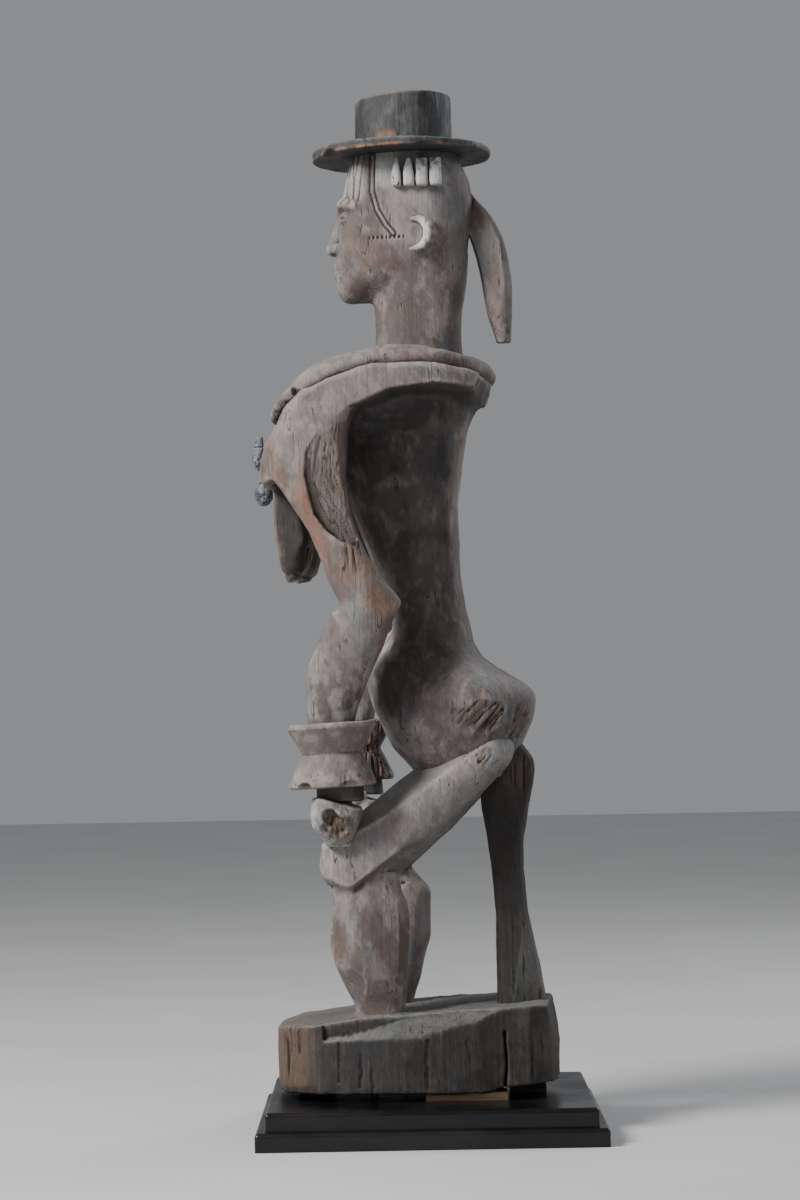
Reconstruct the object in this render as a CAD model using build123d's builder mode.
"""Carved seated ancestor figure with a brimmed hat, on a stepped display plinth.

Millimetres. +Z is up and the origin is the centre of the plinth's underside. The figure
faces -Y and its left side is +X. The carving is modelled square to the axes, then turned a
few degrees about Z where it stands on its plinth.
"""

import os

from build123d import *

# ---------------------------------------------------------------- driving dimensions
FIGURE_TURN = -5.0  # degrees about Z

# Plinth: two boards, the upper one smaller.
BOARD_T = 21.0
LOWER_X, LOWER_Y = 362.0, 390.0
UPPER_X, UPPER_Y = 340.0, 368.0
BOARD_CORNER_R, BOARD_EDGE_R = 3.0, 5.0
PLINTH_TOP = 2 * BOARD_T
PACKER_T = 9.0

# Fixings hidden under the plinth.
SCREW_R, SCREW_HEAD_R, SCREW_HEAD_T = 2.2, 4.5, 3.0
SCREW_LENGTH = 34.0
MOUNT_R, MOUNT_HEAD_R, MOUNT_HEAD_T = 4.0, 8.0, 6.0
MOUNT_SPACING, MOUNT_TOP = 130.0, 108.0
WASHER_R, WASHER_T = 12.0, 1.6
RECESS_R, RECESS_T = 14.0, 9.6

# Carved base, and how deep the feet and the stool's post are let into it.
BASE_BOTTOM = PLINTH_TOP + PACKER_T
BASE_HEIGHT = 100.0
BEVEL_X, BEVEL_BOTTOM, BEVEL_END = 88.0, 94.0, 45.0
FOOT_Z, POST_FOOT_Z, POST_HEAD_Z = 124.0, 136.0, 440.0
POST_CORNER_R = 9.0

# Legs and arms.
KNEE = (74.0, -78.0, 314.0)
KNEE_R = 37.0
KNEE_SPLIT_Z = 284.0
ELBOW_Z = 602.0
WRIST_X, WRIST_Y, WRIST_R = 112.0, -94.0, 24.0
WRIST_END_Z = 384.0
CUFF_TOP, CUFF_H = 469.0, 70.0
CUFF_RIM_R, CUFF_WAIST_R = 51.0, 35.0

# Waist, shoulders and neck.
WAIST_Z, WAIST_Y, WAIST_HALF_X, WAIST_HALF_Y = 568.0, 12.0, 70.0, 44.0
YOKE_HALF_X, YOKE_REACH, YOKE_Y, YOKE_CORNER_R = 148.0, 140.0, -40.0, 84.0
COLLAR_MARGIN, COLLAR_WIDTH, COLLAR_T = 6.0, 32.0, 23.0
NECK_SEAT_Z, NECK_Y = 880.0, 1.0

# Head and hat.
HEAD_TOP_Z, HAT_Y = 1114.0, -13.0
BRIM_R, BRIM_T = 103.0, 10.0
CROWN_R, CROWN_H = 55.0, 60.0
TOOTH_W, TOOTH_H, TOOTH_PITCH, TOOTH_COUNT = 13.0, 31.0, 15.0, 4
TOOTH_X, TOOTH_Y, TOOTH_Z = 60.0, 8.0, 1077.0


# ---------------------------------------------------------------- helpers
def level_loft(*rows):
    """Loft through level ellipses, each (x, y, z, half x, half y)."""
    with BuildPart() as form:
        for x, y, z, half_x, half_y in rows:
            with BuildSketch(Plane((x, y, z))):
                Ellipse(half_x, half_y)
        loft()
    return form.part


def leaning_loft(direction, *rows):
    """Loft through ellipses square to a direction, each (x, y, z, half x, half depth)."""
    with BuildPart() as form:
        for x, y, z, half_x, half_depth in rows:
            with BuildSketch(Plane((x, y, z), x_dir=(1, 0, 0), z_dir=direction)):
                Ellipse(half_x, half_depth)
        loft()
    return form.part


def join(*forms):
    """One part made of several overlapping forms."""
    with BuildPart() as joined:
        for form in forms:
            add(form)
    return joined.part


def cut(stock, *tools):
    """The stock less every tool, without the crumbs that a cut can leave."""
    with BuildPart() as remaining:
        add(stock)
        for tool in tools:
            add(tool, mode=Mode.SUBTRACT)
    with BuildPart() as piece:
        add(remaining.part.solids().sort_by(SortBy.VOLUME)[-1])
    return piece.part


def keep_above(form, height):
    """The part of a form above a height."""
    with BuildPart() as kept:
        add(form)
        split(bisect_by=Plane.XY.offset(height), keep=Keep.TOP)
    return kept.part


def keep_below(form, height):
    """The part of a form below a height."""
    with BuildPart() as kept:
        add(form)
        split(bisect_by=Plane.XY.offset(height), keep=Keep.BOTTOM)
    return kept.part


def mirrored(form):
    """The same form on the figure's right side."""
    with BuildPart() as other_side:
        mirror(form, about=Plane.YZ)
    return other_side.part


def turned(form):
    """A form of the carving, turned to where it stands on the plinth."""
    return form.rotate(Axis.Z, FIGURE_TURN)


def save(form, name):
    """Write one piece as its own node."""
    with BuildPart() as piece:
        add(form)
    piece.part.label = name
    export_step(piece.part, f"parts/{name}.step")


# ---------------------------------------------------------------- display plinth
def board(size_x, size_y, bottom):
    """One plinth board, its upper edge rounded over."""
    with BuildPart() as plank:
        with BuildSketch(Plane.XY.offset(bottom)):
            RectangleRounded(size_x, size_y, BOARD_CORNER_R)
        extrude(amount=BOARD_T)
        fillet(plank.faces().sort_by(Axis.Z)[-1].edges(), BOARD_EDGE_R)
    return plank.part


def board_screws():
    """Countersunk screws from below, joining the lower board to the upper."""
    with BuildPart() as group:
        with GridLocations(LOWER_X - 110, LOWER_Y - 110, 2, 2):
            Cylinder(SCREW_R, SCREW_LENGTH, align=(Align.CENTER, Align.CENTER, Align.MIN))
            Cone(SCREW_HEAD_R, SCREW_R, SCREW_HEAD_T, align=(Align.CENTER, Align.CENTER, Align.MIN))
    return group.part


def under_discs(radius, bottom, thickness):
    """Two discs on the mounting screws' axes."""
    with BuildPart() as discs:
        with BuildSketch(Plane.XY.offset(bottom)):
            with GridLocations(1, MOUNT_SPACING, 1, 2):
                Circle(radius)
        extrude(amount=thickness)
    return discs.part


def mounting_screws():
    """Hexagon-headed screws that hold the carving down through the plinth."""
    head_bottom = RECESS_T - WASHER_T - MOUNT_HEAD_T
    shank_bottom = head_bottom + MOUNT_HEAD_T
    with BuildPart() as heads:
        with BuildSketch(Plane.XY.offset(head_bottom)):
            with GridLocations(1, MOUNT_SPACING, 1, 2):
                RegularPolygon(MOUNT_HEAD_R, 6)
        extrude(amount=MOUNT_HEAD_T)
    return join(heads.part, under_discs(MOUNT_R, shank_bottom, MOUNT_TOP - shank_bottom))


def mounting_washers():
    """Plain washers between the mounting screws' heads and the lower board."""
    with BuildPart() as rings:
        add(under_discs(WASHER_R, RECESS_T - WASHER_T, WASHER_T))
        add(under_discs(MOUNT_R, 0, RECESS_T), mode=Mode.SUBTRACT)
    return rings.part


def packers(size_x, size_y, *centres):
    """Blocks that hold the uneven underside of the carving level on the plinth."""
    with BuildPart() as blocks:
        with BuildSketch(Plane.XY.offset(PLINTH_TOP)):
            with Locations(*centres):
                Rectangle(size_x, size_y)
        extrude(amount=PACKER_T)
    return blocks.part


# ---------------------------------------------------------------- carved base and stool post
def base_block():
    """The foot of the log: an uneven slab, lower at the front, beveled on its left side."""
    with BuildPart() as block:
        with BuildSketch(Plane.XY.offset(BASE_BOTTOM)):
            with BuildLine():
                Polyline(
                    (100, -112), (82, -158), (30, -171), (-40, -177), (-85, -168), (-108, -110),
                    (-110, 20), (-94, 95), (-60, 146), (42, 151), (76, 130), (96, 60), (103, -20),
                    close=True,
                )
            make_face()
        extrude(amount=BASE_HEIGHT)
        with BuildSketch(Plane.YZ):
            with BuildLine():
                Polyline(
                    (-200, BASE_BOTTOM), (-200, 104), (-121, 127), (-37, 141), (10, 145),
                    (155, 147), (155, 57), (70, BASE_BOTTOM),
                    close=True,
                )
            make_face()
        extrude(amount=130, both=True, mode=Mode.INTERSECT)
        with BuildSketch(Plane.YZ.offset(BEVEL_X)):
            with BuildLine():
                Polyline((-200, BEVEL_BOTTOM), (-200, 160), (BEVEL_END, 160), (BEVEL_END, 147), close=True)
            make_face()
        extrude(amount=40, mode=Mode.SUBTRACT)
    return block.part


def post():
    """The stool's single rear post, flared at its foot and at its head."""
    rows = [
        (POST_FOOT_Z, 107, 40, 27), (215, 100.5, 32, 20.5), (262, 96.5, 29, 16.5), (307, 92.5, 30, 17.5),
        (367, 92, 36, 26), (POST_HEAD_Z, 104, 42, 22),
    ]
    with BuildPart() as form:
        for z, y, half_x, half_y in rows:
            with BuildSketch(Plane((0, y, z))):
                RectangleRounded(2 * half_x, 2 * half_y, POST_CORNER_R)
        loft()
    return form.part


# ---------------------------------------------------------------- legs
def thigh():
    """A thigh that slopes forward and down from the hip to the knee."""
    slope = leaning_loft(
        (0, -0.77, -0.64),
        (50, 74, 440, 38, 38), (56, 44, 411, 39, 40), (64, -4, 371, 38, 39),
        (71, -48, 339, 37, 38), (74, -84, 311, 34, 34),
    )
    with BuildPart() as knee:
        with Locations(KNEE):
            Sphere(KNEE_R)
    return keep_above(join(slope, knee.part), KNEE_SPLIT_Z)


def calf():
    """A swelling calf that narrows to a plain ankle let into the base."""
    form = level_loft(
        (74, -73, KNEE_SPLIT_Z + 4, 33, 39), (72, -62, 271, 33, 38), (72, -58, 254, 36, 41),
        (71, -60, 222, 39, 45), (70, -59, 195, 36, 41), (69, -54, 167, 29, 34),
        (68, -50, 142, 24, 27), (68, -50, FOOT_Z, 23, 27),
    )
    return keep_below(form, KNEE_SPLIT_Z)


# ---------------------------------------------------------------- hips and torso
def hips():
    """Belly, hips and the pointed seat, up to the waist."""
    return level_loft(
        (0, 56, 412, 74, 56), (0, 38, 452, 92, 80), (0, 34, 492, 92, 92), (0, 8, 528, 80, 70),
        (0, WAIST_Y, WAIST_Z, WAIST_HALF_X, WAIST_HALF_Y),
    )


def trunk():
    """The tall column of the body, from the waist up to the seat of the neck."""
    return level_loft(
        (0, WAIST_Y, WAIST_Z, WAIST_HALF_X, WAIST_HALF_Y), (0, 3, 617, 65, 42), (0, -11, 675, 62, 54),
        (0, -20, 730, 64, 65), (0, -22, 800, 68, 76), (0, -10, 855, 72, 69), (0, NECK_Y, NECK_SEAT_Z, 62, 60),
    )


def shoulder_line(rise=0.0):
    """Side-view points of the shoulders' top, from the back over to the chest."""
    ridge = ((94, 842), (76, 855), (30, 865), (-40, 866), (-92, 850), (-139, 818), (-166, 782), (-178, 748))
    return [(y, z + rise) for y, z in ridge]


def shoulder_plan(margin=0.0):
    """Everything above the elbows within the shoulders' rounded outline, less a margin."""
    half_x, half_y = YOKE_HALF_X - margin, YOKE_REACH - margin
    with BuildPart() as column:
        with BuildSketch(Plane((0, YOKE_Y, ELBOW_Z))):
            RectangleRounded(2 * half_x, 2 * half_y, YOKE_CORNER_R - 0.6 * margin)
        extrude(amount=400)
    return column.part


def yoke():
    """The arched shelf of the shoulders, rolling forward into the chest."""
    with BuildPart() as shelf:
        with BuildSketch(Plane.YZ):
            with BuildLine():
                top = Spline(*shoulder_line())
                bottom = Spline(
                    (-156, 736), (-132, 770), (-104, 802), (-60, 826), (0, 839), (50, 838), (86, 826)
                )
                Line(top @ 1, bottom @ 0)
                Line(bottom @ 1, top @ 0)
            make_face()
        extrude(amount=YOKE_HALF_X, both=True)
        add(shoulder_plan(), mode=Mode.INTERSECT)
    return shelf.part


def breast():
    """A long hanging breast with a blunt point."""
    return level_loft(
        (44, -150, 775, 30, 16), (45, -144, 735, 27, 19), (46, -141, 700, 25, 21),
        (47, -139, 665, 20, 20), (47, -143, 632, 12, 12),
    )


# ---------------------------------------------------------------- arms
def upper_arm():
    """The upper arm from the shoulder back down to the elbow."""
    return level_loft(
        (114, -100, 828, 28, 40), (122, -108, 780, 28, 42), (126, -108, 745, 27, 41),
        (127, -98, 705, 26, 35), (127, -82, 666, 25, 32), (126, -62, 628, 24, 31),
        (125, -50, ELBOW_Z, 23, 31),
    )


def forearm():
    """The forearm from the elbow forward and down, through its cuff to the wrist."""
    sleeve = level_loft(
        (125, -50, ELBOW_Z, 23, 31), (124, -68, 566, 26, 37), (120, -79, 534, 27, 38),
        (115, -89, 498, 26, 31), (WRIST_X, WRIST_Y, CUFF_TOP + 2, WRIST_R, WRIST_R),
    )
    with BuildPart() as wrist:
        with BuildSketch(Plane((WRIST_X, WRIST_Y, WRIST_END_Z))):
            Circle(WRIST_R)
        extrude(amount=CUFF_TOP + 2 - WRIST_END_Z)
    return join(sleeve, wrist.part)


def cuff():
    """A waisted spool worn round the wrist."""
    foot = CUFF_TOP - CUFF_H
    with BuildPart() as spool:
        with BuildSketch(Plane.XZ.offset(-WRIST_Y)):
            with BuildLine():
                Polyline(
                    (WRIST_X + WRIST_R, CUFF_TOP), (WRIST_X + CUFF_RIM_R - 1, CUFF_TOP),
                    (WRIST_X + CUFF_RIM_R, CUFF_TOP - 6), (WRIST_X + CUFF_WAIST_R, CUFF_TOP - 33),
                    (WRIST_X + CUFF_RIM_R, foot + 5), (WRIST_X + CUFF_RIM_R - 1, foot),
                    (WRIST_X + WRIST_R, foot),
                    close=True,
                )
            make_face()
        revolve(axis=Axis((WRIST_X, WRIST_Y, 0), (0, 0, 1)))
    return spool.part


def hand():
    """A clenched hand resting on the knee."""
    return level_loft(
        (110, -93, WRIST_END_Z, 25, 27), (106, -92, 370, 29, 30), (98, -92, 350, 28, 29),
        (92, -92, 330, 22, 24),
    )


# ---------------------------------------------------------------- collar and pendants
def collar():
    """A heavy ring that lies on the shoulders and dips over the chest."""
    with BuildPart() as ring:
        with BuildSketch(Plane.YZ):
            with BuildLine():
                under = Spline(*shoulder_line())
                over = Spline(*shoulder_line(COLLAR_T))
                Line(under @ 0, over @ 0)
                Line(under @ 1, over @ 1)
            make_face()
        extrude(amount=YOKE_HALF_X, both=True)
        add(shoulder_plan(COLLAR_MARGIN), mode=Mode.INTERSECT)
        add(shoulder_plan(COLLAR_MARGIN + COLLAR_WIDTH), mode=Mode.SUBTRACT)
    return ring.part


def pendant(y, z, half_width, half_height):
    """A faceted drop, widest above its point."""
    with BuildPart() as drop:
        with BuildSketch(Plane.XZ.offset(-y)):
            with BuildLine():
                Polyline(
                    (0, z - half_height), (0.7 * half_width, z - 0.8 * half_height),
                    (half_width, z - 0.2 * half_height), (0.6 * half_width, z + 0.5 * half_height),
                    (0, z + half_height),
                    close=True,
                )
            make_face()
        revolve(axis=Axis((0, y, 0), (0, 0, 1)))
    return drop.part


# ---------------------------------------------------------------- head, hair and hat
def head():
    """Neck and head with plain nose and ears, flat on top where the hat sits."""
    neck = level_loft((0, NECK_Y, NECK_SEAT_Z, 43, 49), (0, 2, 935, 42, 49), (0, 0, 1000, 46, 54))
    skull = level_loft(
        (0, -44, 952, 26, 36), (0, -32, 972, 45, 62), (0, -20, 1000, 55, 75), (0, -13, 1030, 60, 80),
        (0, -9, 1062, 61, 77), (0, -8, 1092, 57, 69), (0, HAT_Y, HEAD_TOP_Z, 52, 60),
    )
    with BuildPart() as nose:
        with BuildSketch(Plane((0, -84, 1003))):
            RectangleRounded(24, 30, 6)
        with BuildSketch(Plane((0, -80, 1050))):
            RectangleRounded(14, 14, 4)
        loft()
    with BuildPart() as ears:
        with Locations((58, 10, 1022), (-58, 10, 1022)):
            Cylinder(15, 12, rotation=(0, 90, 0))
    return join(neck, skull, nose.part, ears.part)


def tress():
    """The plait of hair that hangs behind the neck."""
    return level_loft(
        (0, 66, 1064, 13, 12), (0, 78, 1040, 19, 16), (0, 84, 1012, 20, 19), (0, 90, 985, 19, 18.5),
        (0, 95, 950, 16, 15), (0, 99, 904, 8, 8),
    )


def tooth_row():
    """Upright tooth-shaped pegs in a row on the left side of the head, under the brim."""
    with BuildPart() as row:
        with BuildSketch(Plane((TOOTH_X, TOOTH_Y, TOOTH_Z))):
            with GridLocations(1, TOOTH_PITCH, 1, TOOTH_COUNT):
                RectangleRounded(TOOTH_W, TOOTH_W, 3)
        extrude(amount=TOOTH_H)
    return row.part


def hat():
    """A hat with a flat round brim and a low crown."""
    brim_top = HEAD_TOP_Z + BRIM_T
    crown_top = brim_top + CROWN_H
    with BuildPart() as shape:
        with BuildSketch(Plane.XZ.offset(-HAT_Y)):
            with BuildLine():
                Polyline(
                    (0, HEAD_TOP_Z), (BRIM_R - 3, HEAD_TOP_Z), (BRIM_R, HEAD_TOP_Z + 3),
                    (BRIM_R, brim_top - 2), (BRIM_R - 4, brim_top), (CROWN_R, brim_top),
                    (CROWN_R - 1, crown_top - 5), (CROWN_R - 8, crown_top), (0, crown_top),
                    close=True,
                )
            make_face()
        revolve(axis=Axis((0, HAT_Y, 0), (0, 0, 1)))
    return shape.part


# ---------------------------------------------------------------- build every node
os.makedirs("parts", exist_ok=True)

# Forms of the carving, square to the axes.
breasts = join(breast(), mirrored(breast()))
with BuildPart() as neck_space:
    with BuildSketch(Plane((0, NECK_Y, NECK_SEAT_Z))):
        Ellipse(50, 56)
    extrude(amount=60)
torso_form = cut(join(trunk(), yoke(), breasts), neck_space.part)
hips_form = hips()
thigh_form = cut(thigh(), hips_form)
calf_form = calf()
post_form = cut(post(), hips_form, thigh_form, mirrored(thigh_form))
upper_arm_form = cut(upper_arm(), torso_form)
forearm_form = forearm()
hand_form = cut(hand(), thigh_form)
collar_form = collar()
upper_drop = cut(pendant(-185, 780, 8, 19), collar_form, torso_form)
lower_drop = cut(pendant(-182, 738, 12, 18), collar_form, torso_form)
head_form = head()
base_form = cut(
    base_block(), calf_form, mirrored(calf_form), post_form, under_discs(MOUNT_R, 0, MOUNT_TOP)
)
with BuildPart() as tooth_form:
    add(tooth_row())
    add(mirrored(tooth_row()))
    add(head_form, mode=Mode.SUBTRACT)

# The plinth, square to the axes, bored for the turned mounting screws.
mount_bores = turned(join(under_discs(RECESS_R, 0, RECESS_T), under_discs(MOUNT_R, 0, MOUNT_TOP)))
save(cut(board(LOWER_X, LOWER_Y, 0), mount_bores, board_screws()), "plinth_lower_board")
save(cut(board(UPPER_X, UPPER_Y, BOARD_T), mount_bores, board_screws()), "plinth_upper_board")
save(board_screws(), "plinth_screws")
save(packers(36, 92, (72, 40), (-72, 40)), "pale_shims")
save(packers(60, 40, (0, -130), (0, 112)), "dark_packers")

# The carving and its fixings, turned together.
carving = {
    "mounting_screws": mounting_screws(),
    "mounting_washers": mounting_washers(),
    "carved_base": base_form,
    "stool_post": post_form,
    "hips": hips_form,
    "torso": torso_form,
    "collar_ring": collar_form,
    "upper_pendant": upper_drop,
    "lower_pendant": lower_drop,
    "head": head_form,
    "hair_tress": cut(tress(), head_form),
    "tooth_ornaments": tooth_form.part,
    "hat": hat(),
}
pairs = {
    "thigh": thigh_form,
    "calf": calf_form,
    "upper_arm": upper_arm_form,
    "forearm": forearm_form,
    "cuff": cuff(),
    "hand": hand_form,
}
for name, form in carving.items():
    save(turned(form), name)
for name, form in pairs.items():
    save(turned(form), f"left_{name}")
    save(turned(mirrored(form)), f"right_{name}")
